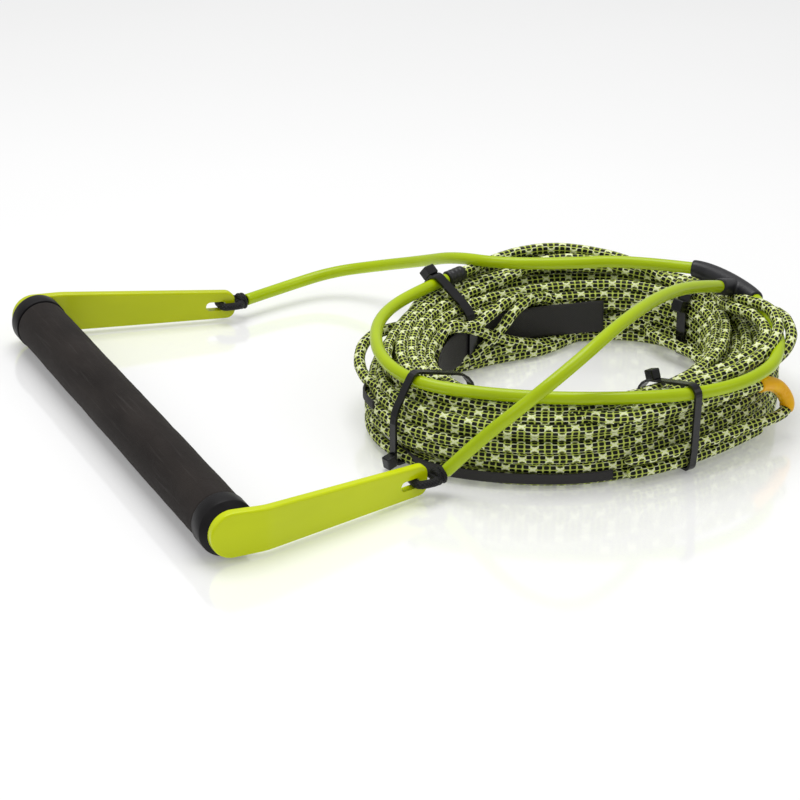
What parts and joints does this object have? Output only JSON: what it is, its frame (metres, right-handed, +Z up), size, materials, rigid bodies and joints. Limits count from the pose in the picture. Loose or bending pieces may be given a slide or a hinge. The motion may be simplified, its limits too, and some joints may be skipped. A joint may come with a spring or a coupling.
{
  "type": "tow rope handle",
  "caption": "Foam-gripped tow bar with moulded arms, sheathed bridle, yoke and leader, and its braided line tied in a coil.",
  "frame": {"origin": "on the surface the handle lies on, under the middle of the bar and arms", "axes": "+Y along the bar from the near arm to the far arm, +X from the bar towards the yoke, +Z up"},
  "size_m": [0.3841, 0.3337, 0.0826],
  "materials": {
    "tube_aluminium": "drawn, clear anodised",
    "core_foam": "closed-cell foam",
    "pin_steel": "plain",
    "grip_foam": "ground EVA foam, warm grey-black",
    "collar_rubber": "smooth moulded rubber",
    "arm_moulding": "glossy lime moulding",
    "core_rope": "black braided core rope",
    "green_sheath": "glossy green polyurethane tube",
    "yoke_rubber": "satin black moulding",
    "whipping_tape": "black tape",
    "braided_line": "pale green braid with black tracers",
    "loop_sleeve": "yellow-orange sleeve",
    "tie_nylon": "black nylon",
    "strap_webbing": "smooth black webbing"
  },
  "bodies": {
    "line_set": {"main_line_coil": "braided_line", "lashing_near": "core_rope", "lashing_far": "core_rope", "leg_core_near": "core_rope", "leg_core_far": "core_rope", "leader_core": "core_rope", "leg_jacket_near": "green_sheath", "leg_jacket_far": "green_sheath", "leader_jacket": "green_sheath", "yoke": "yoke_rubber", "leader_whipping": "whipping_tape", "main_line_top_turn": "braided_line", "boat_loop": "braided_line", "boat_loop_tail": "braided_line", "boat_loop_sleeve": "loop_sleeve", "cable_tie_front_left": "tie_nylon", "cable_tie_front_right": "tie_nylon", "cable_tie_back_left": "tie_nylon", "cable_tie_back_right": "tie_nylon", "keeper_strap": "strap_webbing"},
    "handle": {"core_tube": "tube_aluminium", "flotation_core": "core_foam", "retaining_pins": "pin_steel", "grip": "grip_foam", "collar_near": "collar_rubber", "collar_far": "collar_rubber", "arm_near": "arm_moulding", "arm_far": "arm_moulding"}
  },
  "joints": [
    {"name": "handle_swing", "type": "hinge", "parent": "line_set", "child": "handle", "pos_m": [0.05905, 0, 0.0108], "axis": [0, 1, 0], "range_deg": [0, 105]}
  ]
}
